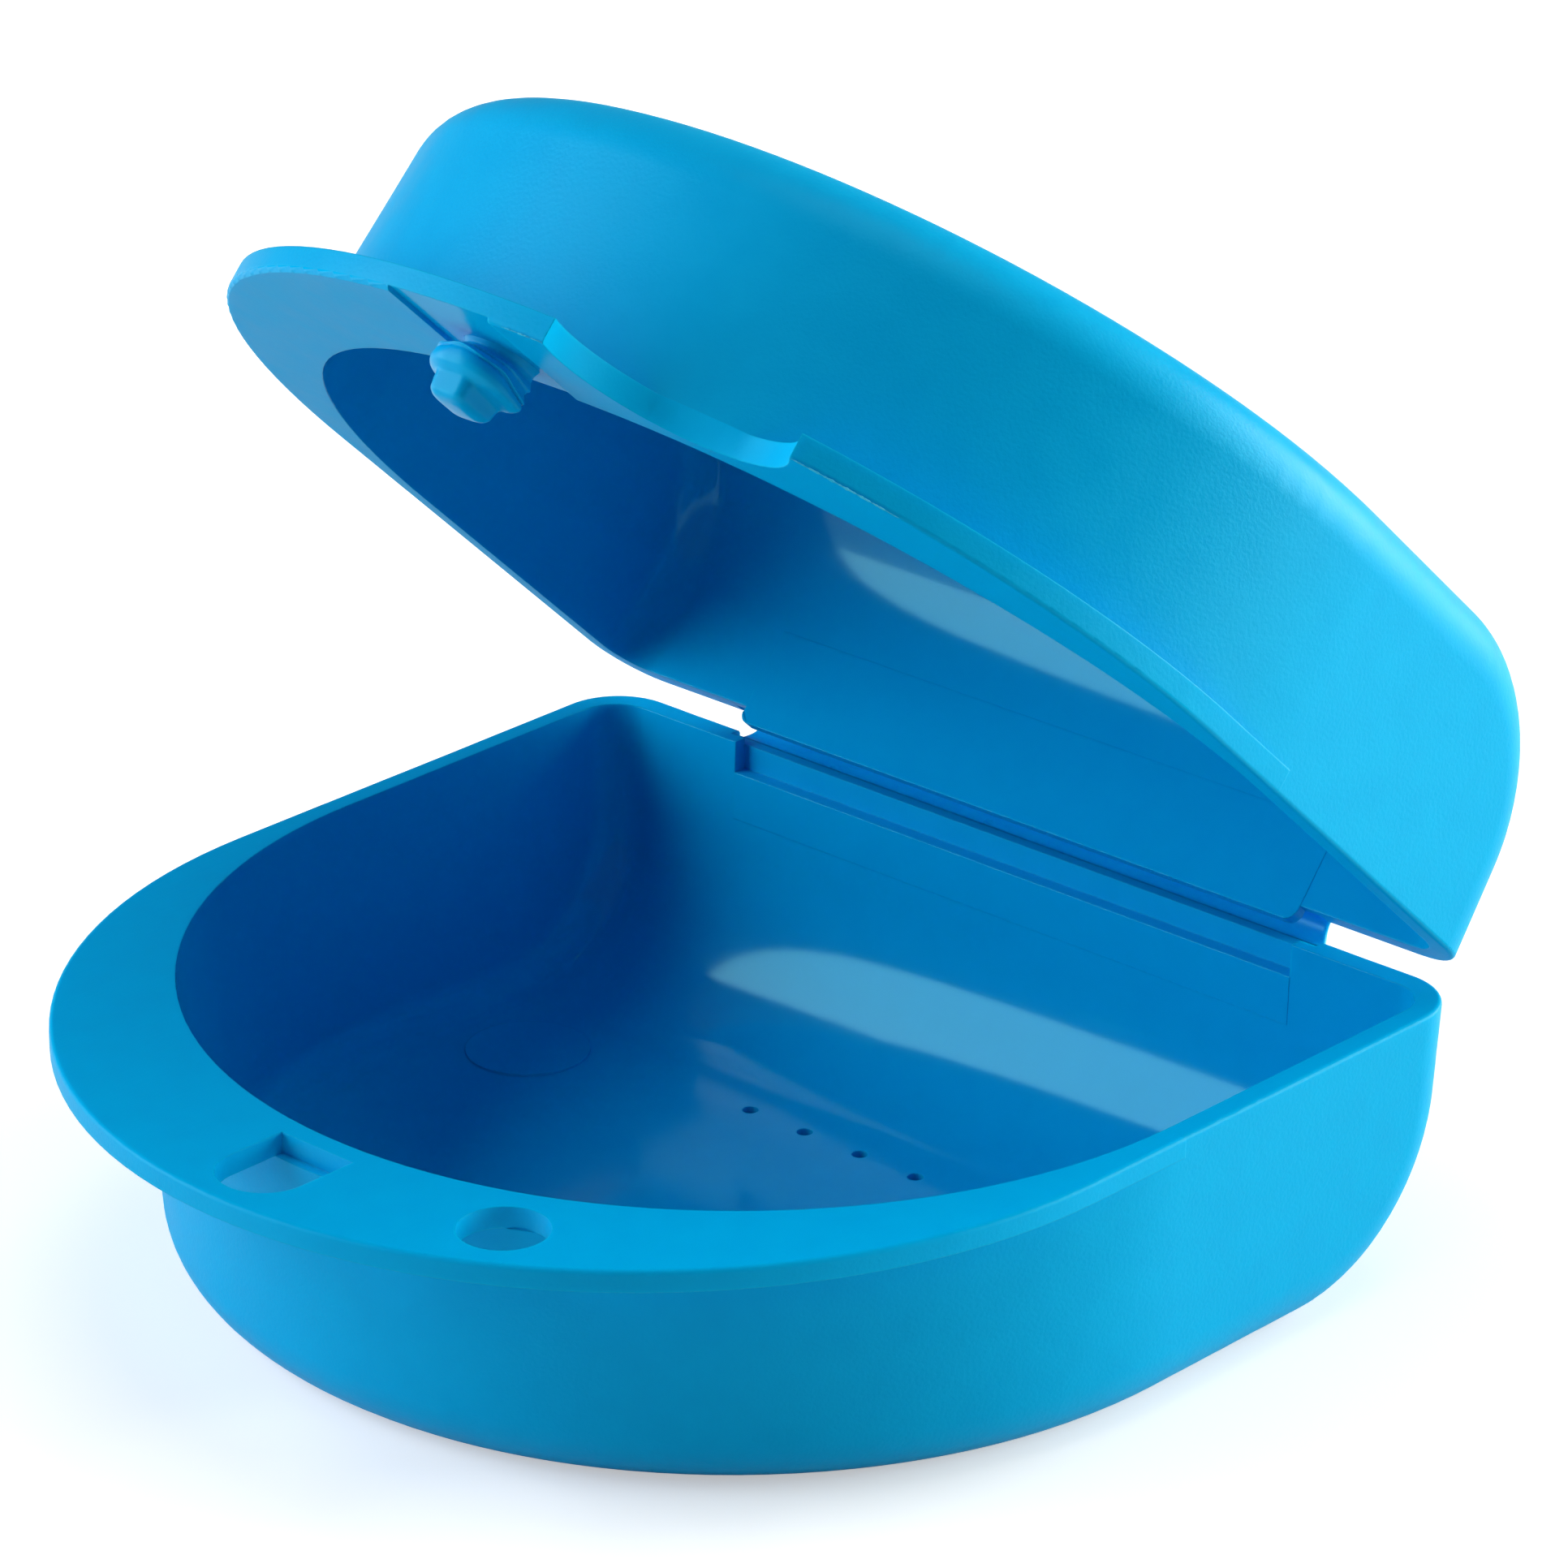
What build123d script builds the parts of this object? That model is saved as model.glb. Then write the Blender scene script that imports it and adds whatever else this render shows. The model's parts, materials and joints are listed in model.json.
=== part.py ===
from build123d import *
import math
import os

# Denture case: a one-shot polypropylene moulding. A D-shaped tray and a matching domed lid
# share a thin living hinge along the straight back, and a stud under the lid's front ledge
# enters a D-shaped keeper hole in the tray's ledge.
# Millimetres. Origin at the centre of the tray's underside, +Z up, front towards -Y,
# hinge towards +Y. The lid is modelled standing open.

# ---------------------------------------------------------------- shells
half_width = 42.35       # outer half width at the rims
side_length = 31.45      # straight side, from the back wall to the centre of the front arc
edge_round = 5.0         # back corners, and sides and front to the ends, outside
side_wall = 1.8
back_wall = 2.05         # thicker, because it carries the hinge
front_wall = 2.4         # thicker, because it carries the ledge
rim_round = 0.35         # rounding of the rims' outer edges

tray_height = 21.3      # underside to rim
tray_draft = 2.7         # mould draft of the standing walls, degrees
tray_back_round = 15.0   # outside, back wall to underside
tray_floor = 1.0

lid_height = 21.5        # rim to top
lid_draft = 2.5
lid_back_round = 15.0
lid_top = 1.45

# ---------------------------------------------------------------- front ledges
ledge_reach = 9.1        # how far both ledges stand out at the middle of the front
tray_ledge = 1.6         # thickness
lid_ledge = 1.9

keeper_width = 7.0       # D-shaped keeper hole
keeper_length = 8.3
keeper_bite = 0.85       # the keeper's flat is cut this far into the front wall

cord_hole_radius = 3.25
cord_hole_edge = 5.2     # centre of the hole to the ledge's outer edge
cord_hole_bearing = 29.0 # degrees from the middle of the front

scoop_radius = 9.3      # thumb scoop through the lid's ledge, centred on its edge
scoop_bearing = 25.3

# ---------------------------------------------------------------- tray floor
vent_radius = 0.6
vent_pitch = 5.55
vent_count = 5
vent_setback = 18.0     # row of vents, from the outside of the back wall
pad_radius = 4.8         # round ejector pad
pad_height = 0.15
pad_x = -30.8
pad_setback = 21.85

# ---------------------------------------------------------------- living hinge
lid_opening = 42.8       # how far the lid stands open, degrees from closed
rim_gap = 0.1            # between the rims when closed
hinge_offset = 1.78      # pivot line behind the back walls
hinge_half_span = 28.8
hinge_thickness = 0.4
hinge_drop = 0.5         # rims are lower by this along the hinge
hinge_relief = 0.2       # rim relief past each end of the hinge
hinge_end_scoop = 0.7    # each end is hollowed by this

tongue_half_span = 27.4  # tongue on the lid's back wall, inside the tray when closed
tongue_length = 1.3
tongue_corner = 0.9
tongue_fit = 0.15        # tongue to recess, at its face and ends
recess_depth = 1.0       # into the inside of the tray's back wall
recess_height = 2.5
land_height = 0.12       # raised fields inside both back walls, between the hinge's ends

# ---------------------------------------------------------------- latch stud
channel_width = 9.4      # shallow polished channel across the lid's ledge
channel_depth = 0.3
stud_side_gap = 0.25     # widest section of the stud to the keeper's sides
stud_flat_gap = 0.9      # flat of the stud to the keeper's flat
stud_overhang = 1.55     # front of the bead to the front of the keeper
root_half_width = 3.05
root_reach = 3.6         # flat to front of the stud at its root
neck_half_width = 2.8
neck_level = 0.8         # levels are measured from the lid's mating face
bead_level = 2.3
bead_land = 0.35
stud_level = 3.3         # end of the stud's body
stud_end_inset = 0.75    # body's end is smaller than the bead all round
peg_width = 3.2          # guide peg on the end
peg_depth = 4.0
peg_length = 1.5
peg_round = 0.6

# ---------------------------------------------------------------- places worked out from them
back_y = (side_length + half_width) / 2
arc_y = back_y - side_length
ledge_arc_y = arc_y - ledge_reach
front_wall_y = arc_y - half_width

inner_half = half_width - side_wall
inner_back_y = back_y - back_wall

recess_half_span = tongue_half_span + tongue_fit
recess_y = inner_back_y + recess_depth
tongue_y = recess_y - tongue_fit

cord_hole_x = (half_width - cord_hole_edge) * math.sin(math.radians(cord_hole_bearing))
cord_hole_y = ledge_arc_y - (half_width - cord_hole_edge) * math.cos(math.radians(cord_hole_bearing))
scoop_x = half_width * math.sin(math.radians(scoop_bearing))
scoop_y = ledge_arc_y - half_width * math.cos(math.radians(scoop_bearing))

keeper_flat_y = front_wall_y + keeper_bite
keeper_front_y = keeper_flat_y - keeper_length
bead_half_width = keeper_width / 2 - stud_side_gap
stud_flat_y = keeper_flat_y - stud_flat_gap
bead_front_y = keeper_front_y + stud_overhang

tray_rim = Plane.XY.offset(tray_height)
pivot_y = back_y + hinge_offset
pivot_z = tray_height + rim_gap / 2
turn = math.radians(lid_opening)
# Where the lid stands: its mating plane, turned open about the pivot.
lid_place = Plane(
    origin=(
        0,
        pivot_y - pivot_y * math.cos(turn) + rim_gap / 2 * math.sin(turn),
        pivot_z + pivot_y * math.sin(turn) + rim_gap / 2 * math.cos(turn),
    ),
    x_dir=(1, 0, 0),
    z_dir=(0, math.sin(turn), math.cos(turn)),
)


def d_outline(half, back, arc):
    """Face with a straight back, straight sides and a half-circle front."""
    with BuildSketch() as outline:
        with BuildLine():
            Polyline((half, arc), (half, back), (-half, back), (-half, arc))
            ThreePointArc((-half, arc), (0, arc - half), (half, arc))
        make_face()
    return outline.sketch


def stud_outline(half, flat, front):
    """Face of the keeper and the stud: flat towards the wall, half-circle front."""
    with BuildSketch() as outline:
        with BuildLine():
            Line((half, front + half), (half, flat))
            Line((half, flat), (-half, flat))
            Line((-half, flat), (-half, front + half))
            ThreePointArc((-half, front + half), (0, front), (half, front + half))
        make_face()
    return outline.sketch


def drafted_form(rim, depth, draft, back_round, edge_round, walls=(0.0, 0.0, 0.0)):
    """D body from its rim to its end, with draft on the standing walls.

    A large radius turns the back wall into the end, and one smaller radius runs down the back
    corners, round that bend and along the sides and front. walls holds the side, back and
    front wall that shrink the body to its cavity.
    """
    side, back, front = walls
    arc = arc_y + front - side
    level = Axis(rim.origin, rim.z_dir)
    with BuildPart() as form:
        with BuildSketch(rim):
            add(d_outline(half_width - side, back_y - back, arc))
        extrude(amount=depth, taper=draft)
        rim_face, *_, end_face = form.faces().sort_by(level, reverse=depth < 0)
        fillet(end_face.edges().sort_by(Axis(rim.origin, rim.y_dir))[-1], back_round - back)
        bends = form.edges() - form.edges().filter_by(Axis.X) - rim_face.edges()
        seams = bends.filter_by(lambda edge: abs(rim.to_local_coords(edge.center()).Y - arc) < 0.01)
        fillet(bends - seams, edge_round - side)
    return form.part


def shell_form(rim, depth, draft, back_round, edge_round):
    """Outside of a shell, with its rim's edge rounded."""
    with BuildPart() as form:
        add(drafted_form(rim, depth, draft, back_round, edge_round))
        level = Axis(rim.origin, rim.z_dir)
        rim_face = form.faces().sort_by(level, reverse=depth < 0)[0]
        fillet(rim_face.edges(), rim_round)
    return form.part


def ledge_form(rim, thickness):
    """Ledge flush with the rim, from inside the front wall out to a front arc moved forwards."""
    with BuildPart() as form:
        with BuildSketch(rim):
            add(d_outline(half_width, back_y, ledge_arc_y))
            add(d_outline(half_width - side_wall / 2, back_y, arc_y), mode=Mode.SUBTRACT)
            with Locations((0, arc_y + back_y)):
                Rectangle(3 * half_width, 2 * back_y, mode=Mode.SUBTRACT)
        extrude(amount=thickness)
        ledge_arc = rim.from_local_coords((0, ledge_arc_y, 0))
        outer_edges = form.edges().filter_by(
            lambda edge: abs((edge.center() - ledge_arc).length - half_width) < 2 * rim_round
        )
        level = Axis(rim.origin, rim.z_dir)
        rim_edges = outer_edges.filter_by(rim).group_by(level)[0 if thickness > 0 else -1]
        fillet(rim_edges, rim_round)
    return form.part


def wall_land(level, depth, draft, half_span):
    """Raised field inside a back wall, from the rim to the start of the wall's bend."""
    lean = abs(depth) * math.tan(math.radians(draft))
    face_y = inner_back_y - land_height
    with BuildPart() as land:
        with BuildSketch(Plane.YZ):
            with BuildLine():
                Polyline(
                    (face_y, level),
                    (face_y - lean, level + depth),
                    (inner_back_y + land_height - lean, level + depth),
                    (inner_back_y + land_height, level),
                    close=True,
                )
            make_face()
        extrude(amount=half_span, both=True)
    return land.part


os.makedirs("parts", exist_ok=True)

# ---------------------------------------------------------------- tray
with BuildPart() as base_tray:
    add(shell_form(tray_rim, -tray_height, tray_draft, tray_back_round, edge_round))
    add(ledge_form(tray_rim, -tray_ledge))
    tray_depth = tray_height - tray_floor
    add(
        drafted_form(tray_rim, -tray_depth, tray_draft, tray_back_round, edge_round, (side_wall, back_wall, front_wall)),
        mode=Mode.SUBTRACT,
    )
    add(wall_land(tray_height, tray_back_round - tray_height, tray_draft, recess_half_span))
    # recess that takes the lid's tongue
    with BuildSketch(tray_rim):
        with Locations((0, recess_y)):
            Rectangle(2 * recess_half_span, back_wall, align=(Align.CENTER, Align.MAX))
    extrude(amount=-recess_height, mode=Mode.SUBTRACT)
    # lower rim along the living hinge
    with BuildSketch(tray_rim):
        with Locations((0, recess_y)):
            Rectangle(2 * (hinge_half_span + hinge_relief), back_wall, align=(Align.CENTER, Align.MIN))
    extrude(amount=-hinge_drop, mode=Mode.SUBTRACT)
    # keeper and cord hole through the ledge
    with BuildSketch(tray_rim):
        add(stud_outline(keeper_width / 2, keeper_flat_y, keeper_front_y))
        with Locations((cord_hole_x, cord_hole_y)):
            Circle(cord_hole_radius)
    extrude(amount=-tray_ledge, mode=Mode.SUBTRACT)
    # vents through the floor
    with BuildSketch():
        with Locations((0, back_y - vent_setback)):
            with GridLocations(vent_pitch, 1, vent_count, 1):
                Circle(vent_radius)
    extrude(amount=tray_floor, mode=Mode.SUBTRACT)
    # ejector pad on the floor
    with BuildSketch(Plane.XY.offset(tray_floor)):
        with Locations((pad_x, back_y - pad_setback)):
            Circle(pad_radius)
    extrude(amount=pad_height)

# ---------------------------------------------------------------- lid
# The lid and its stud are drawn on their mating plane, with z up into the lid, and put in
# place once they are whole.
with BuildPart() as thumb_scoop:
    with BuildSketch():
        with Locations((scoop_x, scoop_y)):
            Circle(scoop_radius)
    extrude(amount=lid_ledge)

with BuildPart() as lid_cover:
    add(shell_form(Plane.XY, lid_height, lid_draft, lid_back_round, edge_round))
    add(ledge_form(Plane.XY, lid_ledge))
    add(thumb_scoop.part, mode=Mode.SUBTRACT)
    lid_depth = lid_height - lid_top
    add(
        drafted_form(Plane.XY, lid_depth, lid_draft, lid_back_round, edge_round, (side_wall, back_wall, front_wall)),
        mode=Mode.SUBTRACT,
    )
    add(wall_land(0, lid_height - lid_back_round, lid_draft, tongue_half_span))
    # tongue below the rim, with round corners
    with BuildSketch(Plane.XZ.offset(-tongue_y)):
        RectangleRounded(2 * tongue_half_span, 2 * tongue_length, tongue_corner)
    extrude(amount=tongue_y - inner_back_y + land_height)
    # shorter rim along the living hinge
    with BuildSketch():
        with Locations((0, tongue_y)):
            Rectangle(2 * (hinge_half_span + hinge_relief), back_wall, align=(Align.CENTER, Align.MIN))
    extrude(amount=hinge_drop, mode=Mode.SUBTRACT)
    # channel across the ledge, from its front edge into the cavity
    with BuildSketch():
        with Locations((0, front_wall_y + 2 * side_wall)):
            Rectangle(channel_width, ledge_reach + 4 * side_wall, align=(Align.CENTER, Align.MAX))
    extrude(amount=channel_depth, mode=Mode.SUBTRACT)

# ---------------------------------------------------------------- latch stud under the lid's ledge
with BuildPart() as latch_stud:
    # root and neck, from the channel's floor
    with BuildSketch(Plane.XY.offset(channel_depth)):
        add(stud_outline(root_half_width, stud_flat_y, stud_flat_y - root_reach))
    with BuildSketch(Plane.XY.offset(-neck_level)):
        add(stud_outline(neck_half_width, stud_flat_y, stud_flat_y - root_reach))
    loft()
    # undercut out to the bead
    with BuildSketch(Plane.XY.offset(-neck_level)):
        add(stud_outline(neck_half_width, stud_flat_y, stud_flat_y - root_reach))
    with BuildSketch(Plane.XY.offset(-bead_level)):
        add(stud_outline(bead_half_width, stud_flat_y, bead_front_y))
    loft()
    # bead's land
    with BuildSketch(Plane.XY.offset(-bead_level)):
        add(stud_outline(bead_half_width, stud_flat_y, bead_front_y))
    extrude(amount=-bead_land)
    # lead-in to the end
    with BuildSketch(Plane.XY.offset(-bead_level - bead_land)):
        add(stud_outline(bead_half_width, stud_flat_y, bead_front_y))
    with BuildSketch(Plane.XY.offset(-stud_level)):
        add(stud_outline(bead_half_width - stud_end_inset, stud_flat_y, bead_front_y + stud_end_inset))
    loft()
    # guide peg
    with BuildSketch(Plane.XY.offset(-stud_level)):
        with Locations((0, stud_flat_y)):
            Rectangle(peg_width, peg_depth, align=(Align.CENTER, Align.MAX))
    extrude(amount=-peg_length)
    peg_end = latch_stud.faces().sort_by(Axis.Z)[0]
    fillet(peg_end.edges(), peg_round)

lid_cover.part.locate(lid_place.location)
latch_stud.part.locate(lid_place.location)

# ---------------------------------------------------------------- living hinge
# A thin strip, longer than the gap between the walls, so that it stands out in a loop.
strip_level = hinge_drop + hinge_thickness / 2
strip_start = Vector(0, back_y, tray_height - strip_level)
strip_end = lid_place.from_local_coords((0, back_y, strip_level))
strip_length = 2 * hinge_offset
strip_turn = math.pi - turn
gap_length = (strip_end - strip_start).length
straight_share = math.cos(strip_turn / 2)
bend_radius = (gap_length - strip_length * straight_share) / (
    2 * math.sin(strip_turn / 2) - strip_turn * straight_share
)
straight_length = (strip_length - strip_turn * bend_radius) / 2

strip_outward = (math.sin(strip_turn / 2), -math.cos(strip_turn / 2))
hollow_radius = ((gap_length / 2) ** 2 + hinge_end_scoop**2) / (2 * hinge_end_scoop)

with BuildPart() as hinge_web:
    with BuildSketch(Plane.YZ.offset(-hinge_half_span)):
        with BuildLine():
            start = Line((recess_y, strip_start.Z), (back_y + straight_length, strip_start.Z))
            bend = JernArc(start @ 1, start % 1, bend_radius, math.degrees(strip_turn))
            Line(bend @ 1, bend @ 1 + (bend % 1) * (straight_length + back_y - tongue_y))
        trace(line_width=hinge_thickness)
    extrude(amount=2 * hinge_half_span)
    add(base_tray.part, mode=Mode.SUBTRACT)
    add(lid_cover.part, mode=Mode.SUBTRACT)
    # both ends are hollowed by an arc that runs from rim to rim
    with BuildSketch(Plane((strip_start + strip_end) / 2, x_dir=(1, 0, 0), z_dir=(0, *strip_outward))):
        with Locations((hinge_half_span + hollow_radius - hinge_end_scoop, 0)):
            Circle(hollow_radius)
        mirror(about=Plane.YZ)
    extrude(amount=strip_length, both=True, mode=Mode.SUBTRACT)

base_tray.part.label = "base_tray"
lid_cover.part.label = "lid_cover"
hinge_web.part.label = "hinge_web"
latch_stud.part.label = "latch_stud"
for piece in (base_tray, lid_cover, hinge_web, latch_stud):
    export_step(piece.part, f"parts/{piece.part.label}.step")
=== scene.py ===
import json
import math

import bmesh
import bpy
import numpy as np
from mathutils import Matrix, Vector


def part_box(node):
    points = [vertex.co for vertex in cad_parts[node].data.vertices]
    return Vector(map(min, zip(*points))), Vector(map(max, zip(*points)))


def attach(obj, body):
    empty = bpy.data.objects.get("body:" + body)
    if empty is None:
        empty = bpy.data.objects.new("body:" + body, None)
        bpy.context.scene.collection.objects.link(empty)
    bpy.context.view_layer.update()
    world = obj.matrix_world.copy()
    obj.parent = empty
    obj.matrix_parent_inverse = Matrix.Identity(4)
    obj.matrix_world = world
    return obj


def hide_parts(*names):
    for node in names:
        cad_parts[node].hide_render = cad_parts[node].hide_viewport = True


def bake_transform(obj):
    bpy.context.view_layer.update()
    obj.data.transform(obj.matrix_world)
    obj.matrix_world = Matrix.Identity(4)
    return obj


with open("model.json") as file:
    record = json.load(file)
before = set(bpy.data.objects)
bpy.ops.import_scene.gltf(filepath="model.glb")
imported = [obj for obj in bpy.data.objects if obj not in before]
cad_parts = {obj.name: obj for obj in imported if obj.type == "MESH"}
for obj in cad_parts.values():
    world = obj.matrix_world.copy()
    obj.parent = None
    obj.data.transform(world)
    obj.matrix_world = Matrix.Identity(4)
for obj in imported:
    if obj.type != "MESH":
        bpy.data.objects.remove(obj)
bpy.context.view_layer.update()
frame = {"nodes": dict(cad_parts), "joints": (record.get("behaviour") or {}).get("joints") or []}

# ---------------------------------------------------------------- viewpoint
# A long lens looks at the open case from the front right, a little above the rims, and
# stands half a metre from the hinge, which it sees right of the middle and a little low.
azimuth = math.radians(42.91)
elevation = math.radians(23.31)
hinge_edge = Vector((-0.0002, 0.03655, 0.0213))
stand_off = 0.5582
hinge_right_of_axis = 0.017485
hinge_below_axis = 0.003644
right = Vector((math.cos(azimuth), math.sin(azimuth), 0))
back = Vector((
    math.sin(azimuth) * math.cos(elevation),
    -math.cos(azimuth) * math.cos(elevation),
    math.sin(elevation),
))
up = back.cross(right)
lens = bpy.data.cameras.new("viewpoint")
lens.lens = 171.6
lens.sensor_width = 36.0
lens.clip_end = 20
viewpoint = bpy.data.objects.new("viewpoint", lens)
viewpoint.matrix_world = Matrix((right, up, back)).transposed().to_4x4()
viewpoint.location = (
    hinge_edge - hinge_right_of_axis * right + hinge_below_axis * up + stand_off * back
)
bpy.context.scene.collection.objects.link(viewpoint)
bpy.context.scene.camera = viewpoint

# ---------------------------------------------------------------- tray
# The lower half of the case, injection moulded in blue polypropylene: a D-shaped bowl with a
# flat ledge round its front. The outside is spark eroded and matt, the cavity is polished.
def linear(hex_colour):
    """sRGB hex to a linear RGBA colour."""
    parts = [int(hex_colour[i:i + 2], 16) / 255 for i in (1, 3, 5)]
    return (*[p / 12.92 if p <= 0.04045 else ((p + 0.055) / 1.055) ** 2.4 for p in parts], 1)


def node(tree, kind, settings=(), values=(), links=()):
    """Adds a node, sets its properties and input values, and links its inputs."""
    made = tree.nodes.new(kind)
    for name, value in dict(settings).items():
        setattr(made, name, value)
    for key, value in dict(values).items():
        made.inputs[key].default_value = value
    for key, source in dict(links).items():
        tree.links.new(source, made.inputs[key])
    return made


# The flow of the melt mottles the blue over 3 mm, and edges shine as if rounded by 0.14 mm.
mottle_mm = 3.03
rounded_edge = 0.00014


def moulded_polypropylene(
    name, roughness, gloss, grain_mm, grain_depth_mm,
    stretch=(1, 1, 1), blues=("#00A4E0", "#00ACE6"), translucency=0.2,
):
    """Polypropylene, IOR 1.49, with its roughness and its specular level, gloss.

    Tint: the blue is deeper than a screen can show, so its highlights lose red.
    Depth: translucency is the share of light that wanders about a millimetre inside.
    Colour: blues, mottled over mottle_mm by the flow of the melt: the pigment's by default,
    lighter where a call paints light into them.
    Shine: roughness, a tenth up and down with the mottle.
    Bump: grain of grain_mm, grain_depth_mm deep, its scale multiplied by stretch, and edges
    that look rounded by rounded_edge.
    """
    material = bpy.data.materials.new(name)
    material.use_nodes = True
    tree = material.node_tree
    plastic = tree.nodes["Principled BSDF"]
    plastic.inputs["IOR"].default_value = 1.49
    plastic.inputs["Specular IOR Level"].default_value = gloss
    plastic.inputs["Specular Tint"].default_value = linear("#88FFFF")
    plastic.inputs["Subsurface Weight"].default_value = translucency
    plastic.inputs["Subsurface Radius"].default_value = (0.3, 0.8, 1.0)
    plastic.inputs["Subsurface Scale"].default_value = 0.0012
    place = node(tree, "ShaderNodeTexCoord").outputs["Object"]
    mottle = node(
        tree, "ShaderNodeTexNoise", {}, {"Scale": 1000 / mottle_mm, "Detail": 3.0},
        {"Vector": place},
    )
    colour = node(
        tree, "ShaderNodeMix", {"data_type": "RGBA"},
        {6: linear(blues[0]), 7: linear(blues[1])}, {"Factor": mottle.outputs["Fac"]},
    )
    tree.links.new(colour.outputs[2], plastic.inputs["Base Color"])
    shine = node(
        tree, "ShaderNodeMapRange", {},
        {"From Min": 0.3, "From Max": 0.7, "To Min": 0.9 * roughness, "To Max": 1.1 * roughness},
        {"Value": mottle.outputs["Fac"]},
    )
    tree.links.new(shine.outputs["Result"], plastic.inputs["Roughness"])
    along = node(tree, "ShaderNodeMapping", {}, {"Scale": stretch}, {"Vector": place})
    grain = node(
        tree, "ShaderNodeTexNoise", {}, {"Scale": 1000 / grain_mm, "Detail": 2.0},
        {"Vector": along.outputs["Vector"]},
    )
    edge = node(tree, "ShaderNodeBevel", {"samples": 4}, {"Radius": rounded_edge})
    bump = node(
        tree, "ShaderNodeBump", {}, {"Strength": 1.0, "Distance": grain_depth_mm / 1000},
        {"Height": grain.outputs["Fac"], "Normal": edge.outputs["Normal"]},
    )
    tree.links.new(bump.outputs["Normal"], plastic.inputs["Normal"])
    return material


# Outside: spark-eroded grain that spreads every highlight. It is drawn at 0.3 mm, coarser
# than the real one, so that it shows.
spark_eroded = moulded_polypropylene(
    "polypropylene_spark_eroded", roughness=0.40, gloss=0.12, grain_mm=0.3, grain_depth_mm=0.02
)
# Cavity: polished steel gives a clear gloss with the faint waviness of shrinking walls.
polished = moulded_polypropylene(
    "polypropylene_polished", roughness=0.11, gloss=0.45, grain_mm=9.0, grain_depth_mm=0.012
)
# Mating faces: ground steel leaves fine lines from front to back, drawn coarser than real
# ones, so that they show. Hardly any gloss is left.
ground = moulded_polypropylene(
    "polypropylene_ground", roughness=0.38, gloss=0.02, grain_mm=0.35, grain_depth_mm=0.010,
    stretch=(1, 0.06, 1),
)

tray_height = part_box("base_tray")[1].z
# The cavity's outline: half a circle in front of cavity_arc_y, then straight to the back wall.
cavity_arc_y = 0.00605
cavity_half = 0.04055
cavity_back_y = 0.03485
# A place inside the lid's cavity; the tray's is its mirror image in the mating plane.
cavity_middle = np.array([0, 0.005, 0.004])
# The raised field on the back wall, and the share of its height that polishing takes off.
field_height = 0.00012
field_half_span = 0.0276
field_press = 0.8
tray_draft = 2.7
# A point as near as this to a drawn surface lies on it, and points nearer than weld are one.
near = 0.00002
weld = 5e-6
# Faces down to this depth belong to the mating plane.
ground_depth = 0.0001
# A step this long from the middle of a face, along its normal, tells where the face looks.
step_length = 0.0001


def moulding(
    name, body, in_mould, to_hinge, draft, own_shift=None, own_materials=(), own_finish_and_painted_light=None
):
    """Copy of a CAD node with smooth shading and a finish for each face.

    in_mould gives every point's place in the piece's own mould: z = 0 at the mating plane.
    The raised field on the back wall, which leans by draft in degrees, is pressed back along
    to_hinge until it stands out by a hair only, as a polisher leaves it. own_shift gives a
    piece's other moves in its mould, across and to the hinge.
    A face inside the cavity's outline is polished (1) where a step along its normal comes
    nearer to the cavity's middle. One on the mating plane is ground (2), and all others are
    spark eroded (0). own_finish_and_painted_light changes that to the numbers 3 and up for own_materials.
    """
    mesh = frame["nodes"][name].data.copy()
    places = np.empty(len(mesh.vertices) * 3)
    mesh.vertices.foreach_get("co", places)
    places = places.reshape(-1, 3)
    spot = in_mould(places)
    depth = np.abs(spot[:, 2])
    field_y = cavity_back_y - field_height - depth * math.tan(math.radians(draft))
    on_field = (np.abs(spot[:, 1] - field_y) < near) & (np.abs(spot[:, 0]) < field_half_span)
    places += on_field[:, None] * field_press * field_height * np.array(to_hinge)
    if own_shift:
        places += own_shift(spot) @ np.array([(1, 0, 0), to_hinge])
    mesh.vertices.foreach_set("co", places.ravel())
    loose = bmesh.new()
    loose.from_mesh(mesh)
    bmesh.ops.remove_doubles(loose, verts=loose.verts, dist=weld)
    bmesh.ops.dissolve_degenerate(loose, edges=loose.edges, dist=weld)
    loose.to_mesh(mesh)
    loose.free()
    # The stored normals belong to the loose triangles, so they go.
    mesh.attributes.remove(mesh.attributes["custom_normal"])
    mesh.materials.clear()
    for material in (spark_eroded, polished, ground, *own_materials):
        mesh.materials.append(material)
    count = len(mesh.polygons)
    centre, normal = np.empty(count * 3), np.empty(count * 3)
    mesh.polygons.foreach_get("center", centre)
    mesh.polygons.foreach_get("normal", normal)
    spot = in_mould(centre.reshape(-1, 3))
    step = in_mould((centre + step_length * normal).reshape(-1, 3))
    depth = np.abs(spot[:, 2])
    x, y = np.abs(spot[:, 0]), spot[:, 1]
    reach = np.where(y < cavity_arc_y, np.hypot(x, y - cavity_arc_y), x)
    inside = (reach < cavity_half + 2 * near) & (y < cavity_back_y + 2 * near)
    middle = cavity_middle * (1, 1, 1 if spot[:, 2].mean() > 0 else -1)
    inward = np.linalg.norm(step - middle, axis=1) < np.linalg.norm(spot - middle, axis=1)
    mating = np.where(depth < ground_depth, 2, 0)
    finish = np.where(inside & inward & (depth > 2 * near), 1, mating)
    if own_finish_and_painted_light:
        own_finish_and_painted_light(finish, spot, step)
    mesh.polygons.foreach_set("material_index", finish.astype(np.int32))
    mesh.polygons.foreach_set("use_smooth", np.ones(count, bool))
    mesh.set_sharp_from_angle(angle=math.radians(40))
    piece = bpy.data.objects.new(name + "_moulding", mesh)
    bpy.context.scene.collection.objects.link(piece)
    soften = piece.modifiers.new("soften", "WEIGHTED_NORMAL")
    soften.keep_sharp = True
    soften.weight = 90
    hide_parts(name)
    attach(piece, body)


moulding(
    "base_tray", "tray", lambda places: places - (0, 0, tray_height), (0, 1, 0), tray_draft
)

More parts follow.
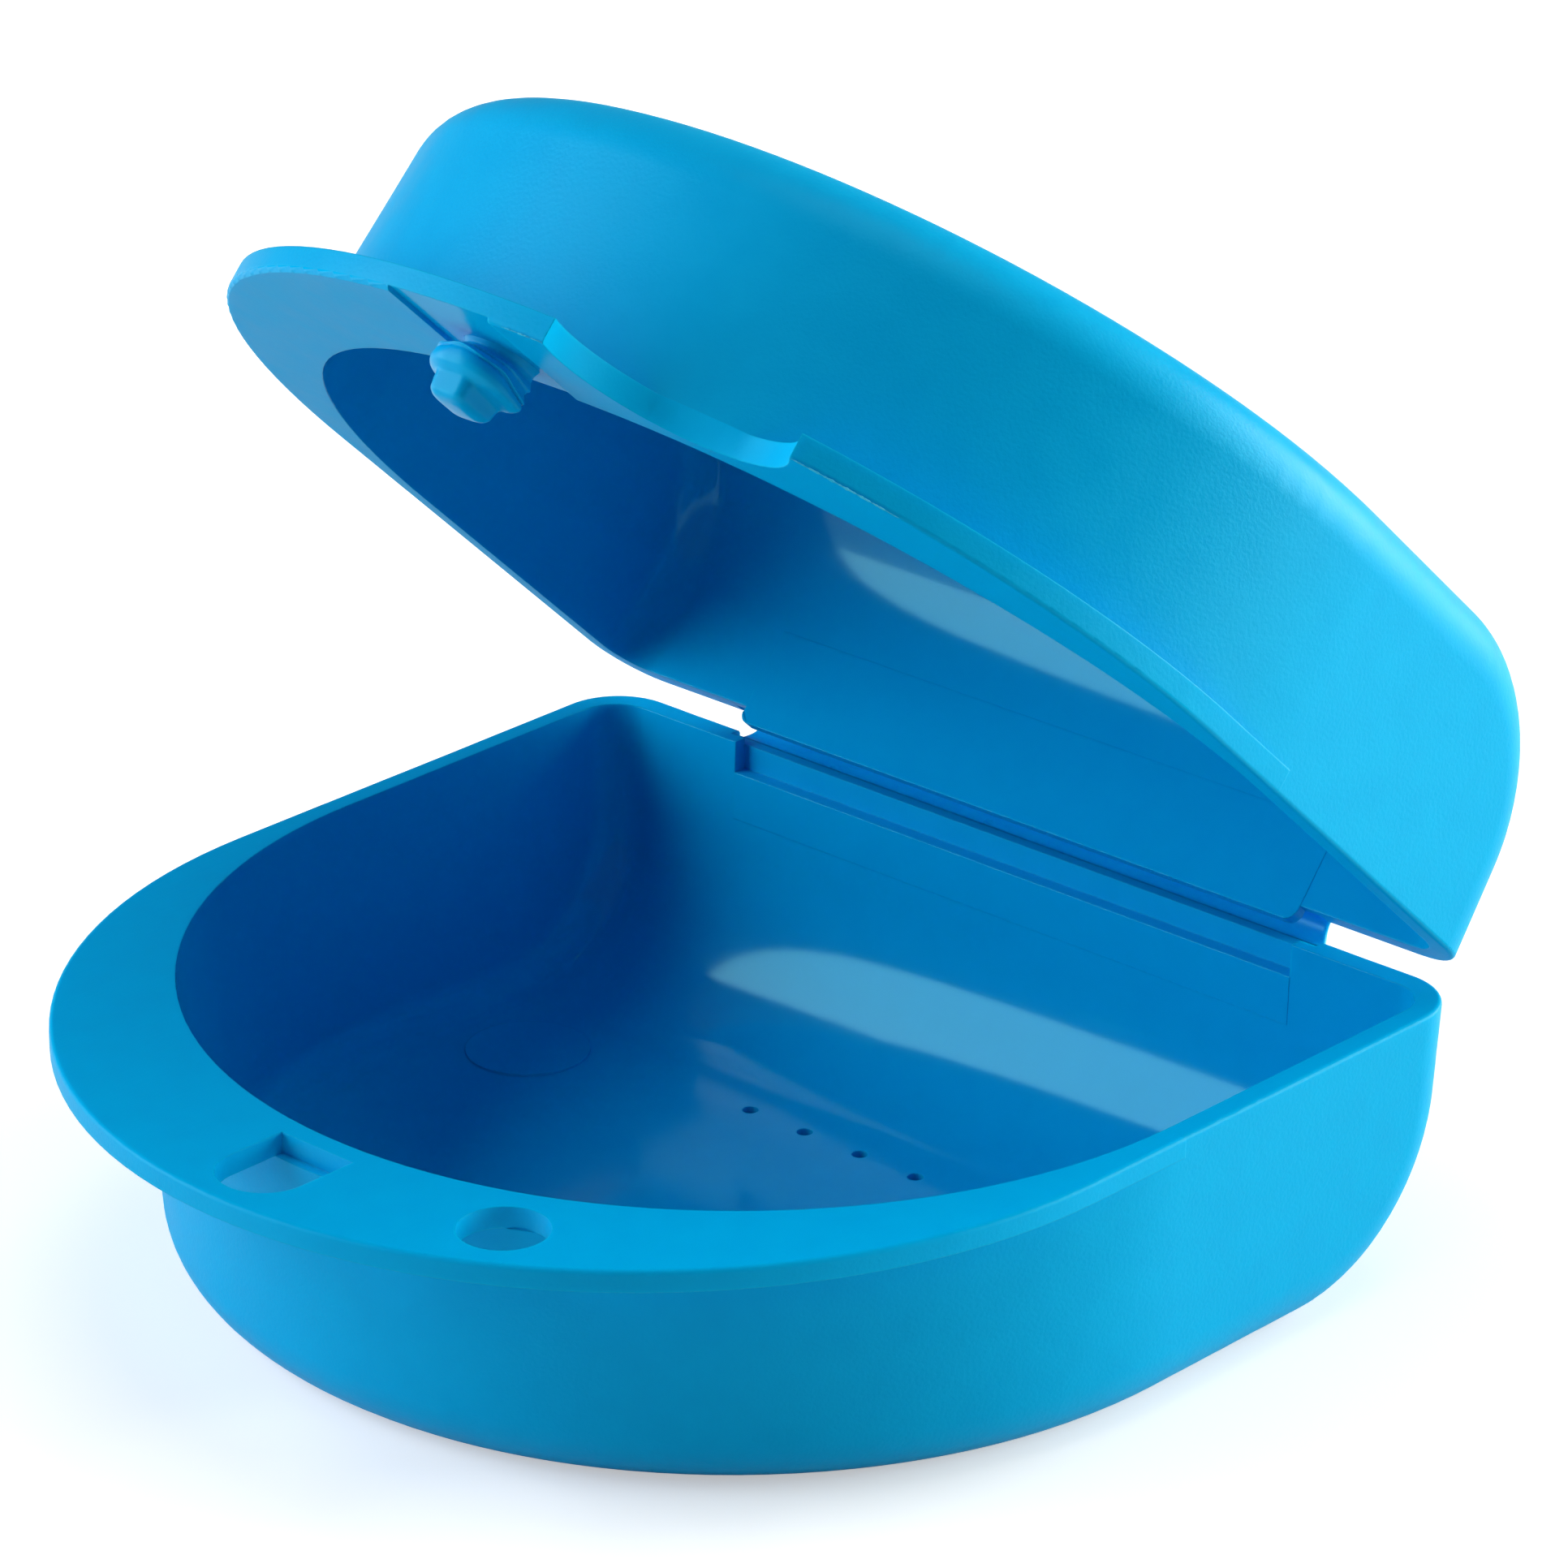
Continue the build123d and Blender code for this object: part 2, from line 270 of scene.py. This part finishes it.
# ---------------------------------------------------------------- lid
# The upper half, moulded in the same shot. Its ledge has the thumb scoop, which a blasted
# insert leaves in the mould, and the shallow milled channel that the latch stud stands in.
hinge = frame["joints"][0]
pivot = Vector(hinge["pos_m"])
# At its lower limit, the lid is shut.
opening = math.radians(-hinge["range_deg"][0])
# Shut, the two mating planes stay a little apart, with the pivot midway.
half_gap = pivot.z - tray_height
lid_draft = 2.5
lid_ledge = 0.0019
# The dome's wall is half a circle in front of wall_arc_y, and leans in by its draft.
wall_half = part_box("lid_cover")[1].x
wall_arc_y = 0.00545
wall_reach = wall_half - lid_ledge * math.tan(math.radians(lid_draft))
# The scoop is a cylinder about an upright axis, and its upper edge runs out of it. A face
# that looks at the axis from within scoop_run of the cylinder belongs to the scoop.
scoop_x = 0.0181
scoop_y = -0.04194
scoop_radius = 0.0093
scoop_run = 0.0006
channel_depth = 0.0003


def closed_places(places):
    """Points of the open lid, turned back shut about the pivot, with the mating plane at z = 0."""
    y, z = places[:, 1] - pivot.y, places[:, 2] - pivot.z
    shut_y = y * math.cos(opening) - z * math.sin(opening)
    shut_z = y * math.sin(opening) + z * math.cos(opening)
    return np.stack([places[:, 0], shut_y + pivot.y, shut_z - half_gap], axis=1)


def scoop_run_out(spot):
    """Moves for the points of the scoop's upper edge, which would cut under the dome's wall.

    They go out from the centre of the wall's front arc until they lie on the wall.
    """
    from_arc = spot[:, :2] - (0, wall_arc_y)
    reach = np.linalg.norm(from_arc, axis=1)
    from_axis = np.hypot(spot[:, 0] - scoop_x, spot[:, 1] - scoop_y)
    on_scoop = np.abs(from_axis - scoop_radius) < near
    under = on_scoop & (reach < wall_reach) & (np.abs(spot[:, 2] - lid_ledge) < near)
    return np.where(under, wall_reach / np.maximum(reach, near) - 1, 0)[:, None] * from_arc


def lid_finish_and_painted_light(finish, spot, step):
    """Marks the channel's floor as milled (3) and what looks at the scoop's axis as blasted (4),
    with a lighter blue that is painted light.
    """
    finish[np.abs(spot[:, 2] - channel_depth) < near / 2] = 3
    from_axis = np.hypot(spot[:, 0] - scoop_x, spot[:, 1] - scoop_y)
    step_from_axis = np.hypot(step[:, 0] - scoop_x, step[:, 1] - scoop_y)
    facing = step_from_axis < from_axis - step_length / 2
    in_ledge = (spot[:, 2] > ground_depth) & (spot[:, 2] < lid_ledge)
    # Painted light: the scoop's face gets material 4, whose lighter blue stands in for the light
    # falling on it.
    finish[facing & in_ledge & (np.abs(from_axis - scoop_radius) < scoop_run)] = 4


# Channel: milled steel, smooth with a weak gloss.
milled = moulded_polypropylene(
    "polypropylene_milled", roughness=0.12, gloss=0.01, grain_mm=0.8, grain_depth_mm=0.003
)
# Scoop: a blasted insert, its grain drawn coarser than the real one. Its blues are lighter
# than the rest: painted light, for the light that falls on the scoop's face.
blasted_painted_light = moulded_polypropylene(
    "polypropylene_blasted_painted_light", roughness=0.45, gloss=0.10, grain_mm=0.25, grain_depth_mm=0.010,
    blues=("#00B0EC", "#00B8F4"),
)
moulding(
    "lid_cover", "lid", closed_places, (0, math.cos(opening), -math.sin(opening)), lid_draft,
    own_shift=scoop_run_out, own_materials=(milled, blasted_painted_light), own_finish_and_painted_light=lid_finish_and_painted_light,
)

# ---------------------------------------------------------------- latch stud
# The snap stud, moulded with the lid: it flares out of the channel's floor, narrows to a neck
# and swells to a smooth bead behind a wavy witness line, with a round-nosed guide peg below.
def open_places(x, y, z):
    """Places drawn on the shut lid's mating plane, turned open with the lid about the pivot."""
    out, rise = y - pivot.y, z + half_gap
    opened_y = pivot.y + out * math.cos(opening) + rise * math.sin(opening)
    opened_z = pivot.z - out * math.sin(opening) + rise * math.cos(opening)
    return x, opened_y, opened_z


# Points of a grid that are nearer than this are one, so that its poles close.
pole_weld = 1e-7


def grid_mesh(name, x, y, z):
    """Mesh of a grid of points whose second direction closes on itself; doubles are merged."""
    rows, columns = x.shape
    places = np.stack([x, y, z], axis=-1).reshape(-1, 3)
    row, column = np.meshgrid(np.arange(rows - 1), np.arange(columns), indexing="ij")
    beside = (column + 1) % columns
    corners = [row * columns + column, row * columns + beside]
    corners += [(row + 1) * columns + beside, (row + 1) * columns + column]
    mesh = bpy.data.meshes.new(name)
    mesh.from_pydata(places.tolist(), [], np.stack(corners, axis=-1).reshape(-1, 4).tolist())
    loose = bmesh.new()
    loose.from_mesh(mesh)
    bmesh.ops.remove_doubles(loose, verts=loose.verts, dist=pole_weld)
    bmesh.ops.recalc_face_normals(loose, faces=loose.faces)
    loose.to_mesh(mesh)
    loose.free()
    mesh.polygons.foreach_set("use_smooth", np.ones(len(mesh.polygons), bool))
    return mesh


# The stud's flat back looks at the hinge. Its skin has this many outlines, with this many
# points on each quarter turn.
stud_flat = -0.03695
stud_outlines = 190
corner_points = 16
smoothing_rounds = 6


def stud_surface(level, half, back, front, nose, heel, tilt, ripple):
    """Stud drawn as rounded outlines, one for each level of its root, neck, bead and peg.

    An outline is a box, half wide to each side, from back to front in its distance from the
    flat, with corners of radius nose at the front and heel at the back. tilt lowers its back
    and lifts its front. ripple moves it in and out by waves of 4 and 9 to the turn, and up
    and down by 5. All arrays are in millimetres and are smoothed between the given levels.
    """
    steps = np.linspace(0, len(level) - 1, stud_outlines)
    knots = np.arange(len(level))
    smooth = np.array([0.25, 0.5, 0.25])
    rows = []
    for values in (level, half, back, front, nose, heel, tilt, ripple):
        fine = np.interp(steps, knots, values)
        for _ in range(smoothing_rounds):
            fine[1:-1] = np.convolve(fine, smooth, "valid")
        rows.append(fine[:, None])
    level, half, back, front, nose, heel, tilt, ripple = rows
    nose, heel = np.minimum(nose, half), np.minimum(heel, half)
    bow = np.linspace(0, math.pi / 2, corner_points)[None, :]
    side = np.concatenate([
        half - heel + heel * np.sin(bow), half - nose + nose * np.cos(bow),
    ], axis=1)
    depth = np.concatenate([
        back + heel - heel * np.cos(bow), front - nose + nose * np.sin(bow),
    ], axis=1)
    side = np.concatenate([side, -side[:, ::-1]], axis=1)
    depth = np.concatenate([depth, depth[:, ::-1]], axis=1)
    share = (depth - back) / np.maximum(front - back, 0.01) - 0.5
    around = np.arctan2(side, depth - (back + front) / 2)
    wave = ripple * (np.sin(4 * around + 0.6) + 0.6 * np.sin(9 * around + 2.0))
    lift = tilt * share + ripple * np.sin(5 * around + 1.0)
    x = side * (1 + wave / 3)
    y = stud_flat * 1000 - depth * (1 + wave / 5)
    return x / 1000, y / 1000, (level + lift) / 1000


stud_levels = np.array([
    # Level over the mating plane, half width, back, front, front corners, back corners, tilt
    # and ripple. Below the tray's ledge, the back keeps clear of the tray's wall.
    (0.45, 0.00, 1.50, 1.50, 0.00, 0.00, 0.00, 0.00),
    (0.42, 2.95, -0.50, 3.50, 2.60, 0.50, 0.00, 0.00),
    (0.25, 2.85, -0.50, 3.40, 2.60, 0.50, 0.00, 0.00),
    (-0.10, 2.60, -0.40, 3.20, 2.50, 0.40, 0.10, 0.00),
    (-0.45, 2.58, -0.40, 3.50, 2.50, 0.30, 0.30, 0.02),
    (-0.70, 2.80, -0.45, 4.10, 2.70, 0.30, 0.50, 0.04),
    (-0.85, 2.92, -0.45, 4.40, 2.80, 0.30, 0.60, 0.05),
    (-0.97, 2.82, -0.25, 4.30, 2.75, 0.30, 0.70, 0.04),
    (-1.15, 2.92, -0.05, 4.70, 2.80, 0.30, 0.90, 0.04),
    (-1.42, 3.12, -0.05, 4.95, 2.90, 0.35, 1.10, 0.05),
    (-1.58, 3.32, -0.09, 5.15, 3.00, 0.40, 1.25, 0.08),
    (-1.66, 3.28, -0.08, 5.12, 3.00, 0.40, 1.25, 0.08),
    (-1.72, 3.08, 0.00, 5.02, 2.90, 0.45, 1.20, 0.05),
    (-1.90, 3.28, -0.05, 5.12, 2.90, 0.45, 1.05, 0.02),
    (-2.30, 3.38, -0.08, 5.15, 2.90, 0.50, 0.85, 0.00),
    (-2.65, 3.25, -0.02, 5.00, 2.80, 0.60, 0.65, 0.00),
    (-2.90, 2.80, 0.10, 4.65, 2.40, 0.60, 0.50, 0.00),
    (-2.98, 2.30, 0.20, 4.45, 1.60, 0.60, 0.40, 0.00),
    (-3.10, 1.78, 0.00, 4.35, 0.90, 0.50, 0.30, 0.00),
    (-3.50, 1.66, 0.10, 4.30, 0.70, 0.50, 0.10, 0.00),
    (-4.15, 1.60, 0.15, 4.20, 0.70, 0.50, 0.00, 0.00),
    (-4.48, 1.40, 0.40, 3.95, 0.80, 0.60, 0.00, 0.00),
    (-4.66, 1.00, 0.80, 3.40, 0.80, 0.60, 0.00, 0.00),
    (-4.70, 0.00, 2.10, 2.10, 0.00, 0.00, 0.00, 0.00),
]).T
stud_skin = open_places(*stud_surface(*stud_levels))
stud = bpy.data.objects.new("latch_stud_moulding", grid_mesh("latch_stud", *stud_skin))
bpy.context.scene.collection.objects.link(stud)
# The stud fills last, so its skin is smooth with soft sinks of about a millimetre.
as_filled = moulded_polypropylene(
    "polypropylene_as_filled", roughness=0.3, gloss=0.18, grain_mm=1.2, grain_depth_mm=0.03
)
stud.data.materials.append(as_filled)
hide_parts("latch_stud")
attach(stud, "lid")

# ---------------------------------------------------------------- flash on the lid's edge
# Flash: paper-thin plastic that crept into the mould's parting line. It stands as a ragged,
# pale thread along the mating edge, beside the corners of the thumb scoop. Its pale blue is
# partly whitening of the torn plastic and partly a painted highlight along that edge.
ledge_radius = wall_half
ledge_arc_y = -0.00365
thread_grid = np.meshgrid(np.linspace(0, 1, 160), np.arange(10) / 10, indexing="ij")


def flash_surface(along, around, first, last, thickness):
    """Ragged thread on the ledge's mating edge, from one bearing to another, in radians.

    Bearings run from the middle of the front to the right. The thread's radius is thickness
    times a sum of sines of the way along in millimetres, and falls to nothing at both ends
    by a square root. Its middle line is sunk into the edge.
    """
    bearing = first + (last - first) * along
    way = bearing * ledge_radius * 1000
    ragged = 0.55 + 0.22 * np.sin(5.1 * way) + 0.15 * np.sin(11.7 * way + 1.0)
    ragged += 0.1 * np.sin(23.0 * way)
    radius = thickness * ragged * np.sqrt(np.clip(4 * along * (1 - along), 0, 1))
    turn = 2 * math.pi * around
    sunk = 0.4 * thickness
    out = ledge_radius - sunk + radius * np.cos(turn)
    level = sunk + radius * np.sin(turn)
    return open_places(out * np.sin(bearing), ledge_arc_y - out * np.cos(bearing), level)


# Pale blues: partly stress whitening where the thread has yielded, and partly a painted
# highlight for the bright line that light draws along the mating edge.
whitened_and_painted_highlight = moulded_polypropylene(
    "polypropylene_whitened_painted_highlight", roughness=0.6, gloss=0.2, grain_mm=0.2, grain_depth_mm=0.004,
    blues=("#16B2E8", "#5CCBF2"),
)
for name, first, last, thickness in (
    ("lid_flash_long", 37.9, 49.0, 0.00010), ("lid_flash_short", 8.0, 12.7, 0.00007),
):
    thread = flash_surface(*thread_grid, math.radians(first), math.radians(last), thickness)
    flash = bpy.data.objects.new(name, grid_mesh(name, *thread))
    bpy.context.scene.collection.objects.link(flash)
    flash.data.materials.append(whitened_and_painted_highlight)
    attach(flash, "lid")

# ---------------------------------------------------------------- living hinge
# The thin web that joins the two halves, moulded with them and flexed once while warm, so
# that it is smooth, softly curved and more translucent than the walls.
web_half_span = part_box("hinge_web")[1].x
web_thickness = 0.0004
web_length = 0.00356
# It leaves the outside of each back wall web_level from the mating plane, with its root in it.
hinge_back = 0.0369
web_level = 0.0007
web_root = 0.0001
# The hollow in its ends, and the share of its half span over which they thin out to an edge.
end_scoop = 0.0007
thin_share = 0.008


def web_surface(across, around):
    """Living hinge as a closed strip; around runs out over its upper face and back below.

    The middle line leaves the tray's wall along y, bends round an arc and runs into the lid's
    wall. Each face is half a thickness from it. The ends thin out to an edge by a quarter of
    a circle, and are hollowed by a squared sine from wall to wall.
    """
    start = np.array([hinge_back, tray_height - web_level])
    _, end_y, end_z = open_places(0.0, hinge_back, web_level)
    turn = math.pi - opening
    gap = math.hypot(end_y - start[0], end_z - start[1])
    share = math.cos(turn / 2)
    radius = (gap - web_length * share) / (2 * math.sin(turn / 2) - turn * share)
    straight = (web_length - turn * radius) / 2 + web_root
    bend_end = straight + turn * radius
    total = bend_end + straight
    run = np.where(around < 0.5, 2 * around, 2 - 2 * around) * total
    side = np.where(around < 0.5, 1.0, -1.0)
    angle = np.clip((run - straight) / radius, 0, turn)
    first = np.minimum(run, straight) - web_root
    last = np.maximum(run - bend_end, 0)
    y = start[0] + first + radius * np.sin(angle) + last * math.cos(turn)
    z = start[1] + radius * (1 - np.cos(angle)) + last * math.sin(turn)
    edge = np.clip((1 - np.abs(across)) / thin_share, 0, 1)
    half = web_thickness / 2 * np.sqrt(1 - (1 - edge) ** 2)
    scoop = end_scoop * np.sin(np.pi * run / total) ** 2 * np.abs(across) ** 6
    x = across * web_half_span - np.sign(across) * scoop
    return x, y - side * half * np.sin(angle), z + side * half * np.cos(angle)


web_ends = 1 - thin_share * np.linspace(0, 1, 10) ** 2
web_middle = np.linspace(-0.985, 0.985, 60)
web_grid = np.meshgrid(
    np.concatenate([-web_ends, web_middle, web_ends[::-1]]), np.arange(96) / 96, indexing="ij"
)
web = bpy.data.objects.new("hinge_film", grid_mesh("hinge_film", *web_surface(*web_grid)))
bpy.context.scene.collection.objects.link(web)
# The film is under half a millimetre thick, so more light passes through it.
film = moulded_polypropylene(
    "polypropylene_film", roughness=0.3, gloss=0.4, grain_mm=2.0, grain_depth_mm=0.004,
    translucency=0.6,
)
web.data.materials.append(film)
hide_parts("hinge_web")
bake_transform(web)

# ---------------------------------------------------------------- floor and light
# A flat sweep of white paper in a studio tent, with softboxes at the front left, at the rear
# right and overhead. None of it is part of the case.
sweep_half = 4
sweep = bpy.data.meshes.new("sweep")
sweep_corners = [
    (x * sweep_half, y * sweep_half, 0) for x, y in ((-1, -1), (1, -1), (1, 1), (-1, 1))
]
sweep.from_pydata(sweep_corners, [], [(0, 1, 2, 3)])
floor = bpy.data.objects.new("sweep", sweep)
bpy.context.scene.collection.objects.link(floor)
paper = bpy.data.materials.new("white_paper")
paper.use_nodes = True
tree = paper.node_tree
sheet = tree.nodes["Principled BSDF"]
sheet.inputs["Base Color"].default_value = linear("#EAEAEA")
sheet.inputs["Roughness"].default_value = 0.9
sheet.inputs["Emission Color"].default_value = linear("#FFFFFF")
# The paper is lit most round the case, so its own share of white, which only the camera
# sees, grows with the distance.
seen = node(tree, "ShaderNodeLightPath")
place = node(tree, "ShaderNodeTexCoord").outputs["Object"]
reach = node(tree, "ShaderNodeVectorMath", {"operation": "LENGTH"}, {}, {0: place})
share = node(
    tree, "ShaderNodeMapRange", {},
    {"From Min": 0.15, "From Max": 0.8, "To Min": 0.45, "To Max": 1.0},
    {"Value": reach.outputs["Value"]},
)
lift = node(
    tree, "ShaderNodeMath", {"operation": "MULTIPLY"}, {},
    {0: seen.outputs["Is Camera Ray"], 1: share.outputs["Result"]},
)
tree.links.new(lift.outputs[0], sheet.inputs["Emission Strength"])
floor.data.materials.append(paper)

# The tent's cloth glows weakly, and looks white to the camera and through clear things.
tent_glow = 0.10
tent = bpy.data.worlds.new("studio_tent")
bpy.context.scene.world = tent
tent.use_nodes = True
tree = tent.node_tree
glow = tree.nodes["Background"]
glow.inputs["Color"].default_value = linear("#FFFFFF")
seen = node(tree, "ShaderNodeLightPath")
straight_on = node(
    tree, "ShaderNodeMath", {"operation": "MAXIMUM"}, {},
    {0: seen.outputs["Is Camera Ray"], 1: seen.outputs["Is Transmission Ray"]},
)
strength = node(
    tree, "ShaderNodeMapRange", {}, {"To Min": tent_glow, "To Max": 1.0},
    {"Value": straight_on.outputs[0]},
)
tree.links.new(strength.outputs["Result"], glow.inputs["Strength"])

# Two softboxes stand upright and face the axis over the case; the third looks down at it.
for place, aim, width, height, watts, tint in (
    ((-0.536, -0.450, 0.40), (0, 0, 0.40), 0.66, 0.78, 6.9, "#FFFFFF"),
    ((0.46, 0.66, 0.22), (0, 0, 0.22), 0.90, 0.42, 11.5, "#FFFDEC"),
    ((0.05, 0.10, 0.95), (0, 0, 0), 0.60, 0.60, 2.7, "#FFFFFF"),
):
    box = bpy.data.lights.new("softbox", "AREA")
    box.shape = "RECTANGLE"
    box.size = width
    box.size_y = height
    box.energy = watts
    box.color = linear(tint)[:3]
    stand = bpy.data.objects.new("softbox", box)
    turned = (Vector(place) - Vector(aim)).to_track_quat("Z", "Y").to_matrix().to_4x4()
    stand.matrix_world = Matrix.Translation(place) @ turned
    bpy.context.scene.collection.objects.link(stand)

bpy.context.scene.view_settings.view_transform = "Standard"
